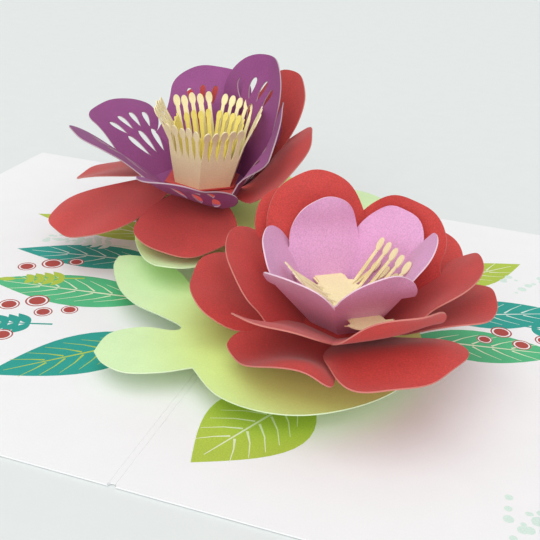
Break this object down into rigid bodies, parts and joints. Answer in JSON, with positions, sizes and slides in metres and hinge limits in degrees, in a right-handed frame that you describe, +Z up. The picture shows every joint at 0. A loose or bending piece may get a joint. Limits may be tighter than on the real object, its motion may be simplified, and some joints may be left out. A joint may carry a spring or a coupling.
{
  "type": "pop up card",
  "caption": "Folded greeting card shown open flat, with two layered paper flowers on leaf sheets that rise from its panels.",
  "frame": {"origin": "on the table under the middle of the open card", "axes": "+X across the two panels, +Y along the fold, +Z up"},
  "size_m": [0.254, 0.1778, 0.0601],
  "materials": {
    "white_card": "uncoated paper with a fine grain",
    "green_paper": "uncoated paper with a fine grain",
    "leaf_paper": "uncoated paper with a fine grain",
    "red_paper": "uncoated paper with a fine grain",
    "purple_paper": "uncoated paper with a fine grain",
    "pink_paper": "uncoated paper with a fine grain",
    "yellow_paper": "uncoated paper with a fine grain",
    "cream_paper": "uncoated paper with a fine grain"
  },
  "bodies": {
    "root": {"card_sheet": "white_card", "front_leaf_riser": "white_card", "rear_leaf_riser": "white_card", "front_flower_strut": "green_paper", "rear_flower_strut": "green_paper", "front_leaf_sheet": "leaf_paper", "rear_leaf_sheet": "leaf_paper", "front_wide_petals": "red_paper", "rear_wide_petals": "red_paper", "front_cup_petals": "red_paper", "rear_cup_petals": "purple_paper", "front_inner_petals": "pink_paper", "front_under_stamens": "yellow_paper", "front_stamens": "cream_paper", "rear_centre_platform": "red_paper", "rear_outer_stamens": "cream_paper", "rear_inner_stamens": "yellow_paper"}
  },
  "joints": []
}
